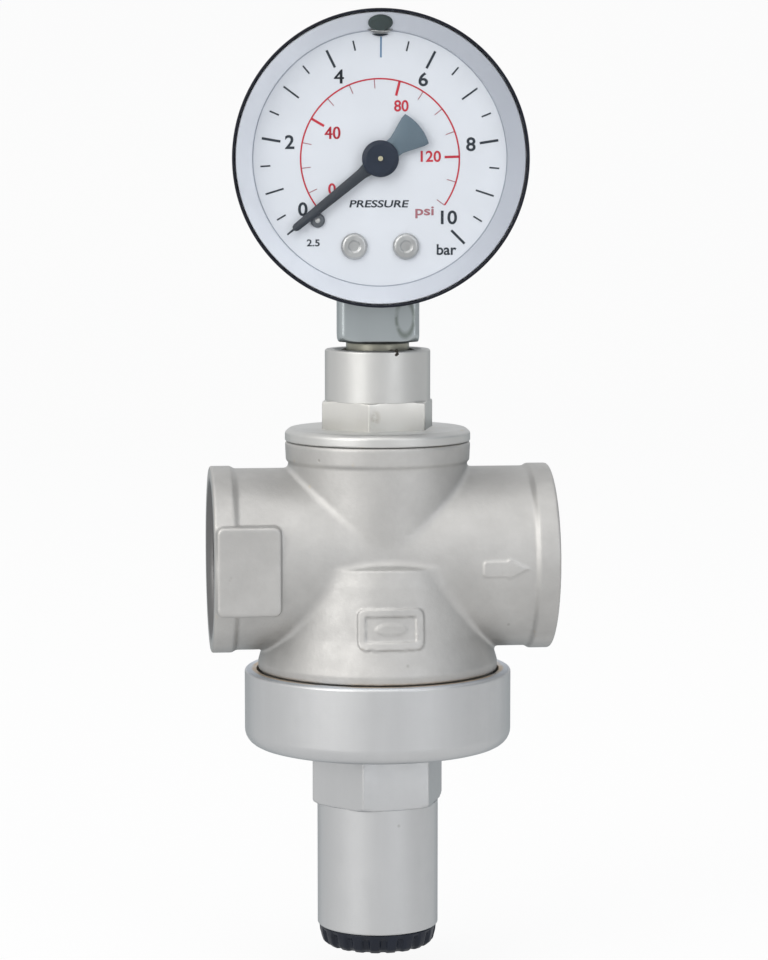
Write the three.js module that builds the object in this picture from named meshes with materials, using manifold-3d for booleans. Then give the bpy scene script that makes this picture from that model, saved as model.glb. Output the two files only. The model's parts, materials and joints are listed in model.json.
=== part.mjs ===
// Pressure reducing valve with a dial gauge: millimetres, +Z up, +X along the flow, the gauge faces -Y.
// The origin is the centre of the cap's flat bottom; the valve's own heights count from SEAT_PLANE_Z.
import * as THREE from "three";
import { mergeVertices } from "three/addons/utils/BufferGeometryUtils.js";
import Module from "manifold-3d";

const wasm = await Module();
wasm.setup();

// ---- driving dimensions ----
const SEAT_PLANE_Z = 69;
const GAP = 0.1;
const FINE = 40;
const SMALL = 20;

const PORT_AXIS_Z = -0.25;
const PORT_HALF_LENGTH = 29.7;
const PORT_COLLAR_R = 16.3;
const BARREL_R = 15.85;
const THREAD_BORE_R = 12.15;
const THREAD_DEPTH = 15;
const PAD_LENGTH = 11.6;
const PAD_HEIGHT = 15.4;
const PAD_HALF_WIDTH = 16.7;

const SEAT_Z = 4.4;
const SEAT_R = 5.5;
const STEM_R = 3.9;
const STEM_THREAD_R = 3;
const PISTON_TOP_Z = -16.2;
const PISTON_BOTTOM_Z = -20.8;
const PISTON_R = 16.2;
const PISTON_BORE_R = 16.5;
const SPIGOT_R = 20.3;
const SPIGOT_END_Z = -27;

const BONNET_TOP_Z = -19.75;
const BONNET_FLANGE_R = 23.4;
const BONNET_HEX = 20.8;
const BONNET_HEX_TURN = 18;
const BONNET_BORE_R = 8.4;
const BONNET_TUBE_R = 10.65;
const BONNET_HEX_END_Z = -43.4;
const BONNET_END_Z = -65.5;

const SPRING_R = 6.6;
const SPRING_WIRE_R = 1.1;
const SPRING_COILS = 7;
const SPRING_END_Z = -55.5;

const PLUG_Z = 20.4;
const PLUG_FLANGE_R = 16.15;
const PLUG_HEX = 18;
const PLUG_HEX_TURN = 14;
const BOSS_R = 9.2;
const BOSS_TOP_Z = 36.4;

const GAUGE_Z = 69.2;
const GAUGE_TURN = -3.95;
const CASE_R = 25;
const CASE_WALL = 0.4;
const CASE_FRONT_Y = -17;
const CASE_BACK_Y = 9.5;
const DIAL_Y = -11.8;
const SQUARE = 14;
const SQUARE_CHAMFER = 0.8;
const PINION_R = 1.2;
const SECTOR_R = 9.6;
const SECTOR_PIVOT = [5.45, -9.44];
const LINK_PIN = [10.28, -10.73];
const TIP_PIN = [14.1, -6.3];
const SECTOR_FROM = 84;
const SECTOR_TO = 123;
const POINTER_REST = 219.1;
const VENT_TILT = 55.5;
const TUBE_R = 17;
const TUBE_TIP = -20;
const TUBE_ROOT = 254;

// ---- finishes ----
const finish = (color, roughness, metalness) =>
  new THREE.MeshStandardMaterial({ color, roughness, metalness });
const NICKEL = finish(0xc3c1bd, 0.36, 1);
const BRASS = finish(0xb89550, 0.38, 1);
const STEEL = finish(0xa9abad, 0.35, 1);
const RUBBER = finish(0x202224, 0.8, 0);
const CAP_PLASTIC = finish(0x28323f, 0.45, 0);
const CASE_PLASTIC = finish(0x171d29, 0.35, 0);
const RING_PLASTIC = finish(0xc6cbd6, 0.5, 0);
const DIAL_WHITE = finish(0xd9dee6, 0.55, 0);
const POINTER_GREY = finish(0x465058, 0.5, 0);
const WINDOW = finish(0xeef2f4, 0.06, 0);
const TAPE = finish(0x4d4a44, 0.9, 0);
const PLUG_RUBBER = finish(0x4d5a56, 0.75, 0);

// ---- solids ----
const radians = THREE.MathUtils.degToRad;

// One closed body facing out, from a closed three.js geometry.
function solid(geometry) {
  const plain = new THREE.BufferGeometry();
  plain.setAttribute("position", geometry.getAttribute("position"));
  plain.setIndex(geometry.index);
  const merged = mergeVertices(plain, 1e-4);
  const index = [];
  for (let i = 0; i < merged.index.count; i += 3) {
    const [a, b, c] = [0, 1, 2].map((k) => merged.index.getX(i + k));
    if (a !== b && b !== c && c !== a) index.push(a, b, c);
  }
  const body = manifoldOf(merged, index);
  return body.volume() < 0 ? manifoldOf(merged, index.reverse()) : body;
}

function manifoldOf(geometry, index) {
  const vertProperties = geometry.attributes.position.array;
  return new wasm.Manifold(
    new wasm.Mesh({ numProp: 3, vertProperties, triVerts: new Uint32Array(index) }),
  );
}

// A ring or disc turned about Y from [radius, y] corners.
function turned(corners, segments = FINE) {
  const closed = [...corners, corners[0]];
  const points = closed.map(([r, y]) => new THREE.Vector2(r, y));
  return new THREE.LatheGeometry(points, segments);
}

// The same about the valve's own vertical axis, from [radius, z] corners.
const aboutZ = (corners, segments) => solid(turned(corners, segments).rotateX(Math.PI / 2));
const aboutY = (corners, segments) => solid(turned(corners, segments));
const aboutX = (corners, segments) => solid(turned(corners, segments).rotateZ(-Math.PI / 2));

const discZ = (r, z0, z1, segments) => aboutZ([[0, z0], [r, z0], [r, z1], [0, z1]], segments);
const ringZ = (r0, r1, z0, z1, segments) => aboutZ([[r0, z0], [r1, z0], [r1, z1], [r0, z1]], segments);
const discY = (r, y0, y1, segments) => aboutY([[0, y0], [r, y0], [r, y1], [0, y1]], segments);

function box(x0, x1, y0, y1, z0, z1) {
  const geometry = new THREE.BoxGeometry(x1 - x0, y1 - y0, z1 - z0);
  return solid(geometry.translate((x0 + x1) / 2, (y0 + y1) / 2, (z0 + z1) / 2));
}

// An outline in the X-Z plane, standing between two y levels.
function slab(shape, y0, y1, curveSegments = 12) {
  const geometry = new THREE.ExtrudeGeometry(shape, {
    depth: y1 - y0,
    bevelEnabled: false,
    curveSegments,
  });
  return solid(geometry.rotateX(Math.PI / 2).translate(0, y1, 0));
}

function hexagon(acrossFlats, z0, z1, turn) {
  const geometry = new THREE.CylinderGeometry(1, 1, z1 - z0, 6);
  const corner = acrossFlats / 2 / Math.cos(Math.PI / 6);
  geometry.scale(corner, 1, corner).rotateX(Math.PI / 2);
  return solid(geometry.rotateZ(radians(-turn)).translate(0, 0, (z0 + z1) / 2));
}

const oRing = (r, wire, z) =>
  solid(new THREE.TorusGeometry(r, wire, 6, FINE)).translate([0, 0, z]);

function roundedRectangle(x0, x1, z0, z1, r) {
  const shape = new THREE.Shape();
  shape.absarc(x1 - r, z0 + r, r, -Math.PI / 2, 0);
  shape.absarc(x1 - r, z1 - r, r, 0, Math.PI / 2);
  shape.absarc(x0 + r, z1 - r, r, Math.PI / 2, Math.PI);
  shape.absarc(x0 + r, z0 + r, r, Math.PI, 1.5 * Math.PI);
  return shape;
}

function sectorShape(r0, r1, from, to) {
  const shape = new THREE.Shape();
  shape.absarc(0, 0, r1, radians(from), radians(to));
  shape.absarc(0, 0, r0, radians(to), radians(from), true);
  return shape;
}

const join = (first, ...rest) => rest.reduce((a, b) => a.add(b), first);
const cut = (first, ...rest) => rest.reduce((a, b) => a.subtract(b), first);

const valve = new THREE.Group();
valve.position.z = SEAT_PLANE_Z;
const gauge = new THREE.Group();
gauge.position.z = GAUGE_Z;
gauge.rotation.z = radians(GAUGE_TURN);
valve.add(gauge);

function piece(group, name, body, material) {
  const mesh = body.getMesh();
  const geometry = new THREE.BufferGeometry();
  geometry.setAttribute("position", new THREE.BufferAttribute(mesh.vertProperties, 3));
  geometry.setIndex(new THREE.BufferAttribute(mesh.triVerts, 1));
  const flat = geometry.toNonIndexed();
  flat.computeVertexNormals();
  const made = new THREE.Mesh(flat, material.clone());
  made.name = name;
  group.add(made);
}

// ---- body: ports along X, a branch up for the plug, a bell down for the piston ----
const barrel = aboutX([
  [0, -PORT_HALF_LENGTH],
  [PORT_COLLAR_R, -PORT_HALF_LENGTH],
  [PORT_COLLAR_R, -25.8],
  [BARREL_R, -24.6],
  [BARREL_R, 24.6],
  [PORT_COLLAR_R, 25.8],
  [PORT_COLLAR_R, PORT_HALF_LENGTH],
  [0, PORT_HALF_LENGTH],
]);
const branch = aboutZ([
  [0, 0],
  [15.7, 0],
  [15.7, 16.7],
  [15.9, 17.2],
  [16.15, 20],
  [15.85, 20.3],
  [0, 20.3],
]);
const bell = aboutZ([
  [0, 1.8],
  [15, 1.8],
  [17.85, 0.3],
  [18.35, -0.9],
  [18.9, -4.5],
  [19.7, -9],
  [20.4, -13.5],
  [20.8, -17],
  [21, -18.2],
  [21, -19.9],
  [SPIGOT_R, -19.9],
  [SPIGOT_R, -23.6],
  [19.2, -23.6],
  [19.2, -25.4],
  [SPIGOT_R, -25.4],
  [SPIGOT_R, SPIGOT_END_Z],
  [0, SPIGOT_END_Z],
]);
const padOutline = roundedRectangle(
  -PORT_HALF_LENGTH - 3,
  PAD_LENGTH - PORT_HALF_LENGTH,
  -PAD_HEIGHT / 2,
  PAD_HEIGHT / 2,
  1.2,
);
const pads = slab(padOutline, -PAD_HALF_WIDTH, PAD_HALF_WIDTH, 3).subtract(
  box(-40, -PORT_HALF_LENGTH, -20, 20, -10, 10),
);
const arrowOutline = new THREE.Shape(
  [[16.4, -1.2], [20.8, -1.2], [20.8, -1.6], [24.2, 0], [20.8, 1.6], [20.8, 1.2], [16.4, 1.2]].map(
    ([x, z]) => new THREE.Vector2(x, z + 0.25),
  ),
);
const flowArrow = slab(arrowOutline, -BARREL_R - 0.25, -13);
const frame = roundedRectangle(-5.2, 5.8, -13.6, -7.1, 1.1);
frame.holes.push(roundedRectangle(-4.4, 5, -12.8, -7.9, 0.5));
const oval = new THREE.Shape();
oval.absellipse(0.3, -10.3, 3, 1.3, 0, 2 * Math.PI);
const badgeFace = aboutZ([[0, -15], [20.9, -15], [19.4, -6], [0, -6]]);
const badge = join(slab(frame, -22, -14, 4), slab(oval, -22, -14, 10)).intersect(badgeFace);
const portBore = (side) =>
  aboutX([
    [0, side * (PORT_HALF_LENGTH + 0.3)],
    [14.18, side * (PORT_HALF_LENGTH + 0.3)],
    [THREAD_BORE_R, side * (PORT_HALF_LENGTH - 1.3)],
    [THREAD_BORE_R, side * (PORT_HALF_LENGTH - THREAD_DEPTH)],
    [0, side * (PORT_HALF_LENGTH - THREAD_DEPTH)],
  ]);
const portSpace = join(portBore(-1), portBore(1)).translate([0, 0, PORT_AXIS_Z]);
const body = cut(
  join(barrel, pads, flowArrow).translate([0, 0, PORT_AXIS_Z]).add(join(branch, bell, badge)),
  portSpace,
  discZ(9, -8.5, 1.5),
  box(-15, -5, -6, 6, -7, 1),
  discZ(SEAT_R, 1, 5),
  discZ(7.5, 2, 5),
  discZ(11.5, 4, 13.2),
  discZ(12.6, 13, 21),
  box(8, 15, -6, 6, 4.5, 9.8),
  discZ(4.1, -15, -8, SMALL),
  discZ(5.6, -12.4, -10.5, SMALL),
  discZ(PISTON_BORE_R, SPIGOT_END_Z - 1, -14.2),
);
piece(valve, "body", body, NICKEL);

// ---- seat and the closing member that hangs in it ----
const seat = aboutZ([
  [SEAT_R, 2.05],
  [7.4, 2.05],
  [7.4, 3.9],
  [6.5, 3.9],
  [6.1, SEAT_Z],
  [SEAT_R, SEAT_Z],
]);
piece(valve, "seat_insert", seat, STEEL);
const stemRod = aboutZ(
  [
    [0, -26.6],
    [STEM_THREAD_R, -26.6],
    [STEM_THREAD_R, PISTON_TOP_Z],
    [STEM_R, PISTON_TOP_Z],
    [STEM_R, 7.4],
    [STEM_THREAD_R, 7.4],
    [STEM_THREAD_R, 14.2],
    [0, 14.2],
  ],
  SMALL,
);
const sensingDrill = discZ(1, -15.4, 15, 12);
const sensingCross = solid(new THREE.CylinderGeometry(0.8, 0.8, 10, 12)).translate([0, 0, -15.2]);
piece(valve, "stem", cut(stemRod, sensingDrill, sensingCross), BRASS);
piece(valve, "disc_gasket", ringZ(STEM_THREAD_R + GAP, 6.9, 7.45, 9, 32), RUBBER);
const holder = aboutZ(
  [
    [STEM_THREAD_R + GAP, 9.05],
    [7, 9.05],
    [7, 7.9],
    [7.8, 7.9],
    [7.8, 10.8],
    [STEM_THREAD_R + GAP, 10.8],
  ],
  32,
);
piece(valve, "disc_holder", holder, BRASS);
const nutHole = discZ(STEM_THREAD_R + GAP, -40, 40, SMALL);
piece(valve, "stem_nut", cut(hexagon(8, 10.85, 13.2, 0), nutHole), STEEL);
piece(valve, "stem_oring", oRing(4.78, 0.78, -11.45), RUBBER);

// ---- piston under the sensing chamber, pushed up by the range spring ----
const pistonDisc = aboutZ([
  [STEM_THREAD_R + GAP, PISTON_TOP_Z - GAP],
  [PISTON_R, PISTON_TOP_Z - GAP],
  [PISTON_R, -17.4],
  [14.4, -17.4],
  [14.4, -19.6],
  [PISTON_R, -19.6],
  [PISTON_R, PISTON_BOTTOM_Z],
  [5.2, PISTON_BOTTOM_Z],
  [5.2, -23.6],
  [STEM_THREAD_R + GAP, -23.6],
]);
piece(valve, "piston", pistonDisc, BRASS);
piece(valve, "piston_oring", oRing(15.45, 0.93, -18.5), RUBBER);
piece(valve, "piston_nut", cut(hexagon(8, -26, -23.65, 0), nutHole), STEEL);

class Helix extends THREE.Curve {
  getPoint(t) {
    const angle = 2 * Math.PI * SPRING_COILS * t;
    const z = PISTON_BOTTOM_Z + t * (SPRING_END_Z - PISTON_BOTTOM_Z);
    return new THREE.Vector3(SPRING_R * Math.cos(angle), SPRING_R * Math.sin(angle), z);
  }
}
const wireSection = new THREE.Shape();
wireSection.absarc(0, 0, SPRING_WIRE_R, 0, 2 * Math.PI);
const coil = new THREE.ExtrudeGeometry(wireSection, {
  steps: SPRING_COILS * 12,
  curveSegments: 3,
  extrudePath: new Helix(),
});
const springSpace = discZ(10, SPRING_END_Z + GAP, PISTON_BOTTOM_Z - GAP, 12);
piece(valve, "range_spring", solid(coil).intersect(springSpace), STEEL);

// ---- bonnet: screwed flange, wrench hexagon and the spring's tube ----
const bonnetShell = aboutZ([
  [21.5, BONNET_TOP_Z],
  [22.6, BONNET_TOP_Z],
  [23.05, BONNET_TOP_Z - 0.25],
  [BONNET_FLANGE_R, BONNET_TOP_Z - 0.8],
  [BONNET_FLANGE_R, -30],
  [23.1, -31.5],
  [22.2, -32.6],
  [20.8, -33],
  [9.8, -33],
  [9.8, BONNET_HEX_END_Z],
  [BONNET_TUBE_R, BONNET_HEX_END_Z],
  [BONNET_TUBE_R, BONNET_END_Z + 0.6],
  [BONNET_TUBE_R - 0.5, BONNET_END_Z],
  [BONNET_BORE_R, BONNET_END_Z],
  [BONNET_BORE_R, -31.3],
  [17, -29.3],
  [17, SPIGOT_END_Z],
  [20.6, SPIGOT_END_Z],
  [20.6, -21.6],
]);
const bonnetHexLimit = aboutZ([
  [9, BONNET_HEX_END_Z],
  [11, BONNET_HEX_END_Z],
  [12, BONNET_HEX_END_Z + 1.2],
  [12, -31],
  [9, -31],
]);
const bonnetHex = hexagon(BONNET_HEX, BONNET_HEX_END_Z, -32, BONNET_HEX_TURN).intersect(bonnetHexLimit);
piece(valve, "bonnet", join(bonnetShell, bonnetHex), NICKEL);
piece(valve, "bonnet_oring", oRing(19.9, 0.63, -24.5), RUBBER);

// ---- setting screw, its plate and the cap that covers them ----
const plate = aboutZ(
  [[0, -57.5], [8.1, -57.5], [8.1, SPRING_END_Z], [4.9, SPRING_END_Z], [4.9, -53], [0, -53]],
  32,
);
piece(valve, "spring_plate", plate, STEEL);
const screw = discZ(8.3, -61.3, -57.55, 32);
piece(valve, "adjusting_screw", cut(screw, hexagon(8, -62, -58.6, 0)), BRASS);
const capBody = aboutZ([
  [0, -69],
  [9, -69],
  [9.7, -68.7],
  [9.95, -68.2],
  [10.35, -66.4],
  [10.4, BONNET_END_Z - 0.05],
  [8.1, BONNET_END_Z - 0.05],
  [8.1, -64.9],
  [7.2, -64.9],
  [7.2, -63.6],
  [8.1, -63.6],
  [8.1, -62.6],
  [6.4, -62.6],
  [6.4, -65.5],
  [0, -65.5],
]);
const capGrooves = [...Array(20).keys()].map((i) =>
  solid(new THREE.CylinderGeometry(0.5, 0.5, 2.6, 8).rotateX(Math.PI / 2))
    .translate([10.5, 0, -68.1])
    .rotate([0, 0, 18 * i + 9]),
);
piece(valve, "cap", cut(capBody, ...capGrooves), CAP_PLASTIC);
piece(valve, "cap_oring", oRing(7.76, 0.5, -64.25), RUBBER);

// ---- top plug that carries the gauge ----
const plugShell = aboutZ([
  [7.75, BOSS_TOP_Z],
  [8.8, BOSS_TOP_Z],
  [BOSS_R, BOSS_TOP_Z - 0.35],
  [BOSS_R, 27.4],
  [8.5, 27.4],
  [8.5, 22.6],
  [15.7, 22.6],
  [PLUG_FLANGE_R, 22.2],
  [PLUG_FLANGE_R, PLUG_Z],
  [11.2, PLUG_Z],
  [11.2, 18.8],
  [12.4, 18.8],
  [12.4, 14.3],
  [9.5, 14.3],
  [9.5, 17],
  [3, 17],
  [3, 23.2],
  [6.5, 23.2],
  [6.5, 35.2],
]);
const plugHexLimit = aboutZ([[8, 22], [10.35, 22], [10.35, 26.9], [9.7, 27.4], [8, 27.4]]);
const plugHex = hexagon(PLUG_HEX, 22, 27.4, PLUG_HEX_TURN).intersect(plugHexLimit);
piece(valve, "top_plug", join(plugShell, plugHex), NICKEL);
piece(valve, "top_plug_oring", oRing(11.88, 0.62, 19.55), RUBBER);

// ---- gauge, in its own group: its centre is the origin, and it looks along -Y ----
const caseCup = aboutY([
  [0, CASE_BACK_Y],
  [22.3, CASE_BACK_Y],
  [23.9, CASE_BACK_Y - 0.5],
  [CASE_R, CASE_BACK_Y - 2],
  [CASE_R, CASE_FRONT_Y + 0.2],
  [CASE_R - 0.2, CASE_FRONT_Y],
  [CASE_R - CASE_WALL, CASE_FRONT_Y],
  [CASE_R - CASE_WALL, CASE_BACK_Y - 2.4],
  [22.2, CASE_BACK_Y - 1.5],
  [0, CASE_BACK_Y - 1.5],
]);
const neckPassage = discZ(5.8, -30, -18, SMALL);
piece(gauge, "gauge_case", cut(caseCup, neckPassage), CASE_PLASTIC);
piece(gauge, "gauge_window", discY(24.4, -16.95, -16.3), WINDOW);
const ringShell = aboutY([[24.35, -16.15], [21.45, -11.9], [22.3, -11.9], [24.4, -15]]);
const ventAxis = (body) => body.rotate([VENT_TILT, 0, 0]).translate([0, -14.03, 22.57]);
const ventHole = ventAxis(solid(new THREE.CylinderGeometry(2.15, 2.15, 6, 20)));
const ventPlug = ventAxis(
  solid(new THREE.CylinderGeometry(2.05, 2.05, 0.75, 20)).translate([0, 0.08, 0]),
);
piece(gauge, "gauge_inner_ring", cut(ringShell, ventHole), RING_PLASTIC);
piece(gauge, "vent_plug", ventPlug, PLUG_RUBBER);

const at = ([x, z], body) => body.translate([x, 0, z]);
const screwPlaces = [[-4.4, -14.8], [4.4, -14.8]];
const stopPlace = [-10.6, -10.4];
const dial = cut(
  discY(22.7, DIAL_Y, DIAL_Y + 0.6),
  discY(1.5, -13, -10, SMALL),
  at(stopPlace, discY(0.65, -13, -10, 12)),
  ...screwPlaces.map((place) => at(place, discY(1.3, -13, -10, 16))),
);
piece(gauge, "gauge_dial", dial, DIAL_WHITE);
const stopPin = aboutY(
  [[0, -12.65], [0.7, -12.5], [1.15, -12.15], [1.25, -11.9], [0.55, -11.9], [0.55, -11], [0, -11]],
  16,
);
piece(gauge, "stop_pin", at(stopPlace, stopPin), DIAL_WHITE);
const dialScrew = aboutY(
  [[0, -12.85], [1.2, -12.7], [2, -12.35], [2.25, -11.9], [1.2, -11.9], [1.2, -7], [0, -7]],
  SMALL,
);
["dial_screw_left", "dial_screw_right"].forEach((name, i) => {
  piece(gauge, name, at(screwPlaces[i], dialScrew), DIAL_WHITE);
});

// ---- pointer: blade, shoulder and thin tip, a fan-shaped tail, and its arbor with the pinion ----
const blade = [[-4, -1.25], [3, -0.95], [18.5, -0.7], [18.9, -0.17], [20.3, -0.17]];
const tail = [180 - 22.5, 180 - 11, 180, 180 + 11, 180 + 22.5].map((a) => [
  8.4 * Math.cos(radians(a)),
  8.4 * Math.sin(radians(a)),
]);
const mirrored = blade.map(([x, z]) => [x, -z]).reverse();
const pointerOutline = new THREE.Shape(
  [...blade, ...mirrored, ...tail].map(([x, z]) => new THREE.Vector2(x, z)),
);
const pointer = join(slab(pointerOutline, -13.3, -12.9), discY(3.08, -13.8, -12.9, SMALL))
  .subtract(discY(0.5, -15, -12, 12))
  .rotate([0, -POINTER_REST, 0]);
piece(gauge, "gauge_pointer", pointer, POINTER_GREY);
const arbor = aboutY(
  [
    [0, -14.1],
    [0.4, -14.1],
    [0.4, -12.6],
    [0.8, -12.6],
    [0.8, -6.2],
    [PINION_R, -6.2],
    [PINION_R, -3.6],
    [0.8, -3.6],
    [0.8, 0.3],
    [0, 0.3],
  ],
  SMALL,
);
piece(gauge, "pointer_arbor", arbor, BRASS);

// ---- movement: the sector rolls on the pinion, drawn by the link from the tube's tip ----
const movementScrews = [[-4, -10.8], [0.5, -10.8]];
const movementHoles = [
  discY(0.9, -20, 5, 12),
  at(SECTOR_PIVOT, discY(0.8, -20, 5, 12)),
  ...movementScrews.map((place) => at(place, discY(0.9, -20, 5, 12))),
];
const plateOutline = roundedRectangle(-8, 9, -12.5, 4, 2);
const frontPlate = slab(plateOutline, -8.4, -7.6, 3);
piece(gauge, "movement_front_plate", cut(frontPlate, ...movementHoles), BRASS);
const backPlate = slab(plateOutline, -0.4, 0.4, 3);
piece(gauge, "movement_back_plate", cut(backPlate, ...movementHoles), BRASS);
const movementScrew = aboutY(
  [[0, -8.3], [0.75, -8.3], [0.75, 0.5], [1.3, 0.5], [1.3, 1.3], [0, 1.3]],
  16,
);
["movement_screw_left", "movement_screw_right"].forEach((name, i) => {
  piece(gauge, name, at(movementScrews[i], movementScrew), STEEL);
});

// A flat bar with round ends between two places in the X-Z plane.
function bar([x0, z0], [x1, z1], halfWidth, y0, y1) {
  const angle = Math.atan2(z1 - z0, x1 - x0);
  const shape = new THREE.Shape();
  shape.absarc(x0, z0, halfWidth, angle + Math.PI / 2, angle + 1.5 * Math.PI);
  shape.absarc(x1, z1, halfWidth, angle - Math.PI / 2, angle + Math.PI / 2);
  return slab(shape, y0, y1, 6);
}
const rim = slab(sectorShape(7.8, SECTOR_R, SECTOR_FROM, SECTOR_TO), -5.4, -4.4, 10);
const spokeAngle = radians((SECTOR_FROM + SECTOR_TO) / 2);
const spokeEnd = [8.2 * Math.cos(spokeAngle), 8.2 * Math.sin(spokeAngle)];
const sector = join(
  at(SECTOR_PIVOT, rim),
  at(SECTOR_PIVOT, bar([0, 0], spokeEnd, 1.3, -5.4, -4.4)),
  bar(SECTOR_PIVOT, LINK_PIN, 0.8, -5.4, -4.4),
  at(SECTOR_PIVOT, discY(0.7, -8.2, 0.2, 12)),
  at(LINK_PIN, discY(0.4, -5, -3.4, 12)),
);
piece(gauge, "sector_gear", sector, BRASS);
const link = bar(LINK_PIN, TIP_PIN, 0.8, -4.3, -3.7).subtract(
  at(LINK_PIN, discY(0.5, -5, -3, 12)),
);
piece(gauge, "link", link, STEEL);

// ---- Bourdon tube from the socket's block round to its tip ----
const tubeOuter = slab(sectorShape(TUBE_R - 1, TUBE_R + 1, TUBE_TIP, TUBE_ROOT), -6.5, -0.5, 24);
const tubeInner = slab(
  sectorShape(TUBE_R - 0.6, TUBE_R + 0.6, TUBE_TIP - 1, TUBE_ROOT + 1),
  -6,
  -1,
  24,
);
piece(gauge, "bourdon_tube", cut(tubeOuter, tubeInner), BRASS);
const tipShape = sectorShape(TUBE_R - 1.5, TUBE_R + 1.5, TUBE_TIP - 7, TUBE_TIP - 0.4);
const tipBlock = slab(tipShape, -7, 0, 3);
const tipSlotShape = sectorShape(TUBE_R - 3, TUBE_R + 0.6, TUBE_TIP - 9, TUBE_TIP + 1);
const tipSlot = slab(tipSlotShape, -4.6, -3.4, 3);
piece(gauge, "tube_tip", cut(tipBlock, tipSlot), BRASS);

// ---- socket: threaded stem, wrench square, neck into the case and block for tube and movement ----
const halfSquare = SQUARE / 2;
const squareOutline = new THREE.Shape(
  [[1, 1], [-1, 1], [-1, -1], [1, -1]].flatMap(([x, y]) => {
    const [long, short] = [halfSquare, halfSquare - SQUARE_CHAMFER];
    const ends = [new THREE.Vector2(x * long, y * short), new THREE.Vector2(x * short, y * long)];
    return x * y > 0 ? ends : ends.reverse();
  }),
);
const squarePrism = solid(
  new THREE.ExtrudeGeometry(squareOutline, { depth: 9, bevelEnabled: false }),
).translate([0, 0, -31.45]);
const squareLimit = aboutZ([[0, -31.45], [7.8, -31.45], [10, -30], [10, -20], [0, -20]]);
const wrenchSquare = squarePrism
  .intersect(squareLimit)
  .subtract(discY(CASE_R + GAP, -20, 20));
const threadedStem = aboutZ(
  [
    [0, -45.7],
    [5.5, -45.7],
    [6.3, -44.9],
    [6.3, -34.3],
    [5.5, -34.3],
    [5.5, -12.7],
    [0, -12.7],
  ],
  32,
);
const slotShape = sectorShape(TUBE_R - 1.1, TUBE_R + 1.1, 200, TUBE_ROOT + 0.5);
const tubeSlot = slab(slotShape, -6.6, -0.4, 12);
const crossDrill = solid(new THREE.CylinderGeometry(0.9, 0.9, 6, 12).rotateZ(Math.PI / 2))
  .translate([-2, -1.6, -16.8]);
const socket = cut(
  join(
    wrenchSquare,
    threadedStem,
    box(-6, 7, -11.1, 5, -20, -12.7),
    box(-6, 2.5, -7.5, -0.5, -13, -9),
  ),
  discZ(1.5, -50, -16, 16),
  tubeSlot,
  crossDrill,
  ...movementScrews.map((place) => at(place, discY(0.9, -20, 5, 12))),
  ...screwPlaces.map((place) => at(place, discY(1.3, -20, -6.5, 16))),
);
piece(gauge, "gauge_socket", socket, NICKEL);
piece(gauge, "gauge_thread_seal", ringZ(5.6, 7.1, -33.2, -32.4, 32), TAPE);

const part = new THREE.Group();
part.add(valve);

export default part;
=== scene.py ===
import json
import math
import bpy
import bmesh
import numpy as np
from mathutils import Matrix, Vector


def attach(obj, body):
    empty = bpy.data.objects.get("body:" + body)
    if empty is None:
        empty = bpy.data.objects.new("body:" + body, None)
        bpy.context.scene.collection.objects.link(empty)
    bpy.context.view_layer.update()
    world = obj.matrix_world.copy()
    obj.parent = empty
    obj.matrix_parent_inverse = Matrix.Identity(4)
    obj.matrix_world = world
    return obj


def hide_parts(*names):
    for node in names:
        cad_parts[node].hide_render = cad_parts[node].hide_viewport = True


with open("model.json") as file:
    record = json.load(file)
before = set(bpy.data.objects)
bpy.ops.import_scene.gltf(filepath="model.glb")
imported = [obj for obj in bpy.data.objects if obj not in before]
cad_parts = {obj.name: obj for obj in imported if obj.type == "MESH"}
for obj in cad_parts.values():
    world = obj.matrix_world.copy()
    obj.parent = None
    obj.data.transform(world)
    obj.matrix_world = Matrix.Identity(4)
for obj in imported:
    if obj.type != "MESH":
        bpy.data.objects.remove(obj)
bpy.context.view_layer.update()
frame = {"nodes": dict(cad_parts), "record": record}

# Sizes are in millimetres; Z runs up from the foot of the cap, and the dial faces -Y.
MM = 0.001
SEAT_Z = 69.0  # plane of the valve seat; the valve's heights are counted from here
PORT_AXIS = -0.25  # the ports' common axis, against the seat plane
RIM_Z = -19.75  # top of the bonnet's cup, against the seat plane
GAUGE_Z = SEAT_Z + 69.2  # centre of the dial; the gauge's heights are counted from here
GAUGE_TURN = math.radians(-3.95)  # the gauge is screwed in slightly off square
TO_VALVE = Matrix.Translation((0, 0, SEAT_Z))
TO_GAUGE = Matrix.Translation((0, 0, GAUGE_Z)) @ Matrix.Rotation(GAUGE_TURN, 4, "Z")
STATIC = "valve_body"


# ---------------------------------------------------------------- materials
PIT_FLOOR = (120, 112, 100)
WORN_EDGE = (206, 190, 158)
PAINTED_GRAZING_SHADE = (118, 128, 132)
# Painted reflection tints: darker and bluer for sides, lighter for tops.
SIDE_SHEEN, TOP_SHEEN = (0.62, 0.66, 0.68, 1), (0.95, 0.97, 1, 1)
GRAIN_DEPTH, PIT_DEPTH, LINE_DEPTH = 0.00006, 0.00008, 0.00001


def srgb(r, g, b):
    """An 8-bit sRGB colour as linear RGBA."""
    c = [v / 255 for v in (r, g, b)]
    return [v / 12.92 if v <= 0.04045 else ((v + 0.055) / 1.055) ** 2.4 for v in c] + [1.0]


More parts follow.
